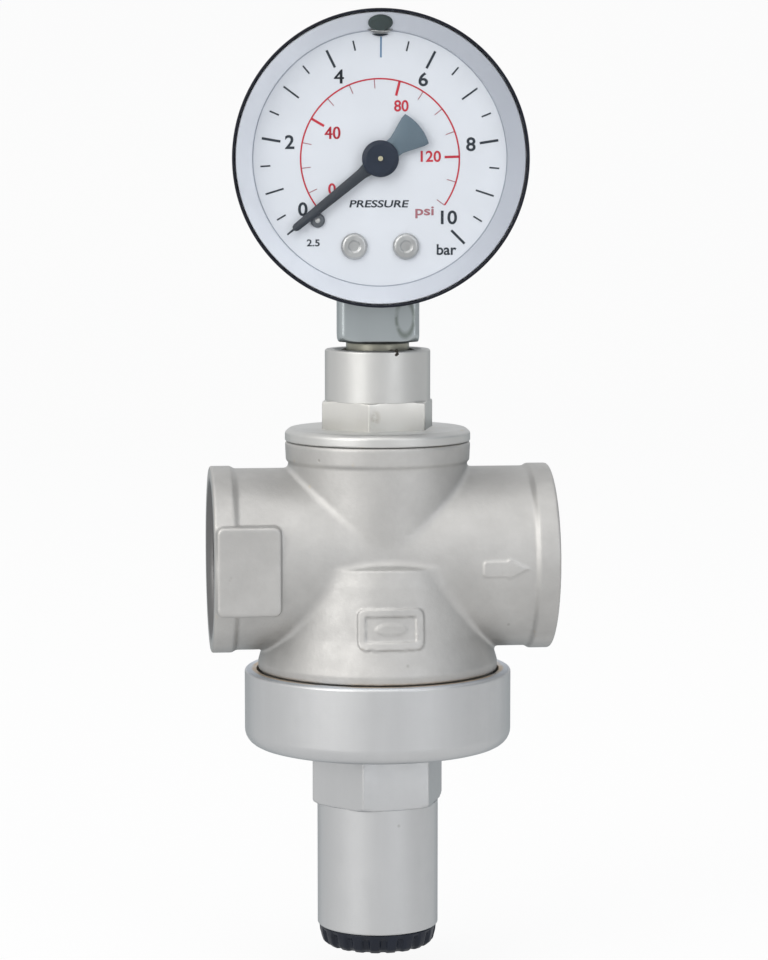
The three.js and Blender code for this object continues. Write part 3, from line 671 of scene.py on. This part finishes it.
# ---------------------------------------------------------------- gauge socket and its seal
def socket_field(x, y, z):
    """The wrench square with chamfered corners, dished under the case, and its round neck."""
    chamfer = (np.abs(x) + np.abs(y) - 13.2) / math.sqrt(2)
    block = smax(box_distance(x, y, z, (0, 0, -26.1), (7, 7, 5.35), 0.3), chamfer, 0.3)
    cone = (np.hypot(x, y) + (-31.4 - z) * 1.4 - 8.2) / 1.72
    block = smax(block, cone, 0.4)
    block = np.maximum(block, 24.9 - np.hypot(x, z))
    neck = np.maximum(np.hypot(x, y) - 5.5, np.abs(z + 29) - 9)
    return smin(block, neck, 0.5)


crests = [(6.3 - 0.55 * (k % 2) - (0.5 if k < 2 else 0), -45.5 + 0.66 * k) for k in range(17)]
thread = spin([(0, -45.7), *crests, (0, -34.3)], 48)
inner_block = spin([(0, -20.4), (4.2, -20.4), (4.2, -12.8), (0, -12.8)], 32)
square = surface(socket_field, (-7.6, -7.6, -38.4), (7.6, 7.6, -19.6), 0.2)
add_piece("gauge_socket_square", [square], SQUARE, STATIC, "gauge_socket", TO_GAUGE,
          weighted=False)
add_piece("gauge_socket_thread", [thread, inner_block], BRASS, STATIC, None, TO_GAUGE)


TUFT = math.radians(-71)
FRAYS = ((3, 0.4, 0.35), (7, 2.1, 0.25), (13, 4.0, 0.2), (29, 1.0, 0.12))  # waves round, phase, size


def ragged(angle, radius, height):
    """An uneven edge, with one torn tuft that hangs over the plug's rim at the front."""
    wander = sum(np.sin(angle * waves + phase) * size for waves, phase, size in FRAYS)
    tuft = np.exp(-(((angle - TUFT + math.pi) % (2 * math.pi) - math.pi) / 0.12) ** 2)
    lift = 0.12 * wander + tuft * (0.35 + 0.15 * np.sin(angle * 61))
    raised = height + np.where(height > -33.5, lift, tuft) - 0.5 * tuft * (radius > 6.3)
    return radius + 0.15 * wander + tuft * 2.9, raised


tape = spin(rounded([
    (5.55, -33.8, 0), (6.4, -33.8, 0.2), (6.7, -33.2, 0.2), (6.0, -32.9, 0.2), (5.55, -32.95, 0)],
    closed=True), 320, closed=True, shape=ragged)
add_piece("seal_tape_wrap", [tape], TAPE, STATIC, "gauge_thread_seal", TO_GAUGE)

# ---------------------------------------------------------------- gauge case, window, ring, dial
CASE_R, CASE_FRONT, CASE_BACK = 25, -17, 9.5
PLATE_FRONT = -11.8
DIAL_FACE = -11.84  # the print stands just in front of the plate
case = spin(rounded([
    (0, CASE_BACK, 0), (22.6, CASE_BACK, 1.2), (CASE_R, 7.6, 1.8), (CASE_R, CASE_FRONT, 0.2),
    (24.58, CASE_FRONT, 0.12), (24.55, 7.2, 0.8), (22.5, 8.0, 0.6), (0, 8, 0)]), 192, axis="Y")
pane = spin(rounded([(0, -16.95, 0), (24.45, -16.95, 0.2), (24.45, -16.3, 0.2), (0, -16.3, 0)]), 128, axis="Y")
ring = spin(rounded([
    (24.4, -16.2, 0.1), (21.8, -12.3, 0.3), (21.6, -11.9, 0.1), (22.4, -11.85, 0), (24.45, -15, 0)],
    closed=True), 192, closed=True, axis="Y")
plate = spin(rounded([
    (1.5, PLATE_FRONT, 0.1), (22.7, PLATE_FRONT, 0.1), (22.7, -11.2, 0), (1.5, -11.2, 0)],
    closed=True), 160, closed=True, axis="Y")
for name, part, look, node, slot in (
        ("case_shell", case, CASE, "gauge_case", "case_plastic"),
        ("window_pane", pane, PANE, "gauge_window", "clear_window"),
        ("ring_cone", ring, RING, "gauge_inner_ring", "ring_plastic"),
        ("dial_plate", plate, DIAL, "gauge_dial", "dial_white")):
    add_piece(name, [part], look, STATIC, node, TO_GAUGE)



REST = 219.1  # degrees to the pointer and the scale's start, anticlockwise from three o'clock
MIDDLE, PER_BAR = 89.55, 26.9
PSI = 1 / 14.504


def turn_to(bar):
    """The dial angle of a pressure in bar."""
    return math.radians(MIDDLE + PER_BAR * (5 - bar))


def tick(angle, r0, r1, width):
    """A radial bar of print."""
    along = np.array((math.cos(angle), math.sin(angle)))
    side = np.array((-along[1], along[0])) * width / 2
    corners = [along * r0 - side, along * r1 - side, along * r1 + side, along * r0 + side]
    return [(c[0], DIAL_FACE, c[1]) for c in corners], [(0, 1, 2, 3)]


def arc(radius, width, start, end, steps=160):
    """A printed line along a circle."""
    points, faces = [], []
    for k in range(steps + 1):
        angle = start + (end - start) * k / steps
        for r in (radius - width / 2, radius + width / 2):
            points.append((r * math.cos(angle), DIAL_FACE, r * math.sin(angle)))
    for k in range(steps):
        faces.append((2 * k, 2 * k + 1, 2 * k + 3, 2 * k + 2))
    return points, faces


def lettering(text, centre, height, width, slant=0.0):
    """Text as flat print, scaled to a height and width and centred."""
    curve = bpy.data.curves.new("lettering", "FONT")
    curve.body = text
    curve.resolution_u = 6
    curve.offset = 0.0 if "4" in text else 0.02
    drawn = bpy.data.objects.new("lettering", curve)
    bpy.context.scene.collection.objects.link(drawn)
    mesh = drawn.to_mesh()
    points = np.array([v.co[:2] for v in mesh.vertices])
    faces = [tuple(p.vertices) for p in mesh.polygons]
    drawn.to_mesh_clear()
    bpy.data.objects.remove(drawn)
    bpy.data.curves.remove(curve)
    low, high = points.min(0), points.max(0)
    points = (points - (low + high) / 2) / (high - low) * (width, height)
    points[:, 0] += slant * points[:, 1]
    points += centre
    return [(x, DIAL_FACE, z) for x, z in points], faces


BAR_END, PSI_END = 20.3, 13.4  # the two scales' outer radii
black = [tick(turn_to(n), 17.1, BAR_END, 0.42 if n % 2 == 0 else 0.3) for n in range(1, 11) if n != 5]
black += [tick(turn_to(n + 0.5), 18.6, BAR_END, 0.27) for n in range(10)]
figures = {"0": (-13.1, -8.5), "2": (-15.3, 2.8), "6": (7.3, 13.35), "8": (15.4, 2.45)}
black += [lettering(text, place, 2.35, 1.6) for text, place in figures.items()]
black += [lettering("10", (11.7, -9.9), 2.35, 2.75), lettering("bar", (11.3, -15.35), 1.85, 3.35)]
black += [lettering("PRESSURE", (-0.15, -7.6), 1.25, 9.9, 0.2), lettering("2.5", (-11.35, -14.2), 1.2, 2.2)]
red = [arc(13.45, 0.26, math.radians(REST), turn_to(140 * PSI))]
red += [tick(turn_to(n * PSI), 10.95, PSI_END, 0.42) for n in range(40, 141, 40)]
faint = [tick(turn_to(n * PSI), 11.85, PSI_END, 0.15) for n in range(10, 141, 10) if n % 40]
for shift in (-0.06, 0.06):  # printed twice, a little apart, for a bolder stroke
    black.append(lettering("4", (-6.95 + shift, 13.8), 2.35, 1.6))
    red.append(lettering("40", (-8.05 + shift, 4.35), 2.1, 2.6))
red += [lettering("0", (-8.15, -5.1), 1.95, 1.3)]
red += [lettering("80", (3.6, 8.9), 1.95, 2.45), lettering("120", (8.6, 0.4), 1.9, 3.45)]
faint += [lettering("psi", (7.55, -9.05), 2.0, 3.15)]
prints = {"dark": (black, INK), "red": (red, INK_RED), "faint": (faint, INK_FAINT)}
prints["top_mark"] = ([tick(turn_to(5), 17.0, 20.5, 0.3)], INK_BLUE)
prints["edge_line"] = ([arc(21.52, 0.12, 0, 2 * math.pi, 200)], INK_GREY)
for name, (parts, colour) in prints.items():
    add_piece("print_" + name, parts, colour, STATIC, None, TO_GAUGE, False)


# ---------------------------------------------------------------- pointer, pins and screws
def plate_of(outline, y0, y1, bevel=0.1):
    """A flat plate in the gauge's X-Z plane with a small bevel on its front edge."""
    pts = np.array(outline)
    centre = pts.mean(0)
    ahead, back = np.roll(pts, -1, 0), np.roll(pts, 1, 0)
    normal = np.stack(((ahead - back)[:, 1], -(ahead - back)[:, 0]), 1)
    normal /= np.linalg.norm(normal, axis=1)[:, None]
    inner = pts - normal * bevel
    count = len(pts)
    rings = [(pts, y1), (pts, y0 + bevel), (inner, y0)]
    points = [(x, y, z) for ring, y in rings for x, z in ring]
    faces = [tuple(range(count)), tuple(range(2 * count, 3 * count))[::-1]]
    for i in range(2):
        for k in range(count):
            m = (k + 1) % count
            faces.append((i * count + k, (i + 1) * count + k, (i + 1) * count + m, i * count + m))
    return points, faces


def at_rest(points):
    """Points drawn along the pointer, turned to where it rests in the dial."""
    c, s = math.cos(math.radians(REST)), math.sin(math.radians(REST))
    return [(x * c - z * s, x * s + z * c) for x, z in points]


def mirrored(side):
    """An outline closed by its own mirror image across the pointer's length."""
    return side + [(x, -z) for x, z in reversed(side)]


TAIL_R, TAIL_SPREAD = 8.6, (158.4, 201.6)
blade = mirrored([
    (-2.2, -1.3), (2.6, -1.25), (4, -0.95), (18.3, -0.68), (18.75, -0.5), (18.95, -0.2), (20.3, -0.14)])
neck = [(-1.6, 1.6), (-3.6, 1.7), (-4.7, 2.1), (-7.1, 3.05), (-7.7, 3.15)]
end = [(TAIL_R * math.cos(a), TAIL_R * math.sin(a)) for a in np.radians(np.linspace(*TAIL_SPREAD, 13))]
tail = neck + end + [(x, -z) for x, z in reversed(neck)]
hub = spin(rounded([
    (0, -13.95, 0), (2.4, -13.95, 0.2), (3.12, -13.6, 0.2), (3.12, -12.85, 0), (0, -12.85, 0)]), 64, axis="Y")
spindle = spin(rounded([
    (0, -14.35, 0), (0.42, -14.3, 0.1), (0.42, -12.6, 0), (0.8, -12.6, 0), (0.8, -6.2, 0), (1.2, -6.2, 0),
    (1.2, -3.6, 0), (0.8, -3.6, 0), (0.8, 0.3, 0), (0, 0.3, 0)]), 32, axis="Y")
add_piece("pointer_blade", [plate_of(at_rest(blade), -13.3, -12.9)], POINTER, "pointer", "gauge_pointer",
          TO_GAUGE, False)
add_piece("pointer_tail", [plate_of(at_rest(tail), -13.28, -12.9)], TAIL, "pointer", None,
          TO_GAUGE, False)
add_piece("pointer_hub", [hub], HUB, "pointer", None, TO_GAUGE)
add_piece("spindle_pin", [spindle], PIN_END, "pointer", "pointer_arbor", TO_GAUGE)


def screw_head(place, radius, height, dimple, foot):
    """A low head with a rounded edge and a dimple on the dial, and its shank behind."""
    top = -11.85 - height
    curve = rounded([
        (0, top + dimple, 0), (radius * 0.35, top + dimple, 0.1), (radius * 0.5, top, 0.3),
        (radius, top, height * 0.8), (radius, PLATE_FRONT, 0), (radius * 0.5, PLATE_FRONT, 0),
        (radius * 0.5, foot, 0), (0, foot, 0)])
    points, faces = spin(curve, 48, axis="Y")
    return points + np.array((place[0], 0, place[1])), faces


STOP_PIN = (-10.6, -10.4)
for name, side in (("left", -1), ("right", 1)):
    screw = screw_head((side * 4.4, -14.8), 2.25, 0.8, 0.25, -7)
    add_piece("dial_screw_head_" + name, [screw], SCREW, STATIC, "dial_screw_" + name, TO_GAUGE)
pin = screw_head(STOP_PIN, 1.25, 0.7, 0.02, -11)
add_piece("stop_pin_head", [pin], PIN, STATIC, "stop_pin", TO_GAUGE)
# Painted highlight: a pale dome at the centre of the stop pin stands for its glint.
glint, glint_faces = spin([(0, -12.66), (0.35, -12.64), (0.48, -12.5), (0.48, -12.3), (0, -12.3)], 32, axis="Y")
glint = glint + np.array((STOP_PIN[0], 0, STOP_PIN[1]))
add_piece("stop_pin_painted_glint", [(glint, glint_faces)], SCREW, STATIC, None, TO_GAUGE)

# The vent plug leans on the ring's cone; a bright lip shows under it, and below that a dark crescent of ink is
# painted shadow in the narrow space between ring and dial.
vent_disc = spin(rounded([
    (0, -0.2, 0), (1.75, -0.18, 0.2), (2.08, 0.05, 0.1), (2.08, 0.35, 0), (0, 0.35, 0)]), 64, axis="Y")
lean = Matrix.Translation((0, -14.03, 22.57)) @ Matrix.Rotation(math.radians(55.5), 4, "X")
crescents = {"lip": (2.1, 21.75, 0.75, -12.5, SCREW), "painted_gap_shadow": (1.35, 20.95, 0.36, -12.2, INK)}
for name, (half, high, drop, y, look) in crescents.items():
    spread = np.linspace(-half, half, 17)
    upper = [(x, high - x * x / 43) for x in spread]
    lower = [(x, high - x * x / 43 - drop * (1 - (x / half) ** 2) - 0.03) for x in spread[::-1]]
    crescent = plate_of(upper + lower, y, y + 0.25, 0.02)
    add_piece("vent_" + name, [crescent], look, STATIC, None, TO_GAUGE, False)
add_piece("vent_plug_disc", [vent_disc], VENT, STATIC, "vent_plug", TO_GAUGE @ lean)

# ---------------------------------------------------------------- CAD pieces that stay: procedural finishes
FINISHES = {
    "brass": BRASS, "stainless": STEEL, "rubber": RUBBER, "nickel_plate": TURNED, "dial_white": SCREW,
    "cap_plastic": CAP, "case_plastic": CASE, "pointer_grey": POINTER, "seal_tape": TAPE,
    "ring_plastic": RING, "clear_window": PANE,
}
slots = {entry["node"]: entry["material_slot"] for entry in frame["record"]["subparts"]}
for node, shown in frame["nodes"].items():
    for held in shown.material_slots:
        held.material = FINISHES[slots[node]]

# ---------------------------------------------------------------- floor, light, camera
FLOOR_DROP = 0.006  # the cap comes 4.5 mm down as it is unscrewed, and stays clear of the floor
FLOOR_FRONT, FLOOR_BACK, FLOOR_TOP, FLOOR_SIDE, SWEEP_R = -3.0, 1.2, 4.0, 4.0, 0.9
BACKDROP, FLOOR_GLOW = 0.985, 0.75  # brightness of floor and backdrop to the eye, and of the floor as a light
floor_mesh = bpy.data.meshes.new("floor")
bend = np.linspace(0.1, math.pi / 2, 14)
curve = [(FLOOR_BACK + SWEEP_R * math.sin(a), SWEEP_R - SWEEP_R * math.cos(a)) for a in bend]
sweep = [(FLOOR_FRONT, 0.0), (FLOOR_BACK, 0.0), *curve, (FLOOR_BACK + SWEEP_R, FLOOR_TOP)]
points = [(x, y, z - FLOOR_DROP) for y, z in sweep for x in (-FLOOR_SIDE, FLOOR_SIDE)]
floor_mesh.from_pydata(points, [], [(2 * i, 2 * i + 1, 2 * i + 3, 2 * i + 2) for i in range(len(sweep) - 1)])
floor_mesh.shade_smooth()
floor = bpy.data.objects.new("floor", floor_mesh)
bpy.context.scene.collection.objects.link(floor)
paper = Graph("floor_paper")
seen = paper.node("LightPath").outputs["Is Camera Ray"]
glow = paper.node("Emission", Color=(1, 1, 1, 1), Strength=paper.ramp(seen, 0, 1, FLOOR_GLOW, BACKDROP))
tone = paper.mix(paper.ramp(paper.noise(3, 2), 0.3, 0.7), srgb(248, 249, 250), srgb(252, 252, 252))
paper.put(paper.shader.inputs["Base Color"], tone)
paper.shader.inputs["Roughness"].default_value = 0.9
paper.blend(0.1, glow, paper.shader)
floor_mesh.materials.append(paper.material)


def softbox(name, place, aim_height, width, height, power, colour=(1, 1, 1)):
    """A rectangular studio light turned towards a height on the valve's axis."""
    light = bpy.data.lights.new(name, "AREA")
    light.shape = "RECTANGLE"
    light.size, light.size_y = width, height
    light.energy = power
    light.color = colour
    made = bpy.data.objects.new(name, light)
    made.location = place
    aim = Vector((0, 0, aim_height)) - Vector(place)
    made.rotation_euler = aim.to_track_quat("-Z", "Y").to_euler()
    bpy.context.scene.collection.objects.link(made)


softbox("key", (-0.85, -0.8, 0.55), 0.08, 0.6, 0.9, power=4.9, colour=(1.0, 0.985, 0.965))
softbox("fill", (0.62, -0.95, 0.45), 0.08, 0.35, 0.9, power=1.8, colour=(0.98, 0.985, 1.0))
softbox("top", (-0.1, -0.2, 1.1), 0.1, 0.9, 0.9, power=2.5)

# The sky is brightest towards the upper left front, and even to the eye.
SKY_LEAN = (-0.5, -0.28, 0.82)
SKY_DARK, SKY_BRIGHT = (0.29, 0.31, 0.33, 1), (1.0, 0.99, 0.975, 1)
SKY_STEPS = ((0.45, (0.41, 0.43, 0.45, 1)), (0.66, (0.55, 0.565, 0.59, 1)), (0.86, (0.9, 0.895, 0.885, 1)))
world = bpy.data.worlds.new("studio")
world.use_nodes = True
bpy.context.scene.world = world
tree = world.node_tree
back = tree.nodes["Background"]
path = tree.nodes.new("ShaderNodeLightPath")
direction = tree.nodes.new("ShaderNodeTexCoord")
facing = tree.nodes.new("ShaderNodeVectorMath")
facing.operation = "DOT_PRODUCT"
tree.links.new(direction.outputs["Generated"], facing.inputs[0])
facing.inputs[1].default_value = SKY_LEAN
sky = tree.nodes.new("ShaderNodeValToRGB")
height = tree.nodes.new("ShaderNodeMapRange")
height.inputs["From Min"].default_value = -1
tree.links.new(facing.outputs["Value"], height.inputs["Value"])
tree.links.new(height.outputs["Result"], sky.inputs["Fac"])
stops = sky.color_ramp.elements
stops[0].position, stops[0].color = 0.0, SKY_DARK
stops[1].position, stops[1].color = 1.0, SKY_BRIGHT
for position, tone in SKY_STEPS:
    stops.new(position).color = tone
pick = tree.nodes.new("ShaderNodeMix")
pick.data_type = "RGBA"
tree.links.new(path.outputs["Is Camera Ray"], pick.inputs[0])
tree.links.new(sky.outputs["Color"], pick.inputs[6])
pick.inputs[7].default_value = (BACKDROP, BACKDROP, BACKDROP, 1)
tree.links.new(pick.outputs[2], back.inputs["Color"])
bpy.context.scene.view_settings.view_transform = "Standard"

AZIMUTH = math.radians(-6.2)
DISTANCE = 0.520
EYE_HEIGHT = 0.1346
DROP = math.radians(5.739)
ASIDE = 0.00113
LENS, SENSOR = 111.9, 36
camera = bpy.data.cameras.new("camera")
camera.sensor_fit = "VERTICAL"
camera.sensor_height = SENSOR
camera.lens = LENS
camera.clip_start = 0.01
camera.clip_end = 20
eye = bpy.data.objects.new("camera", camera)
eye.location = (
    math.sin(AZIMUTH) * DISTANCE + math.cos(AZIMUTH) * ASIDE,
    -math.cos(AZIMUTH) * DISTANCE + math.sin(AZIMUTH) * ASIDE,
    EYE_HEIGHT,
)
eye.rotation_euler = (math.pi / 2 - DROP, 0, AZIMUTH)
bpy.context.scene.collection.objects.link(eye)
bpy.context.scene.camera = eye

bpy.context.view_layer.update()
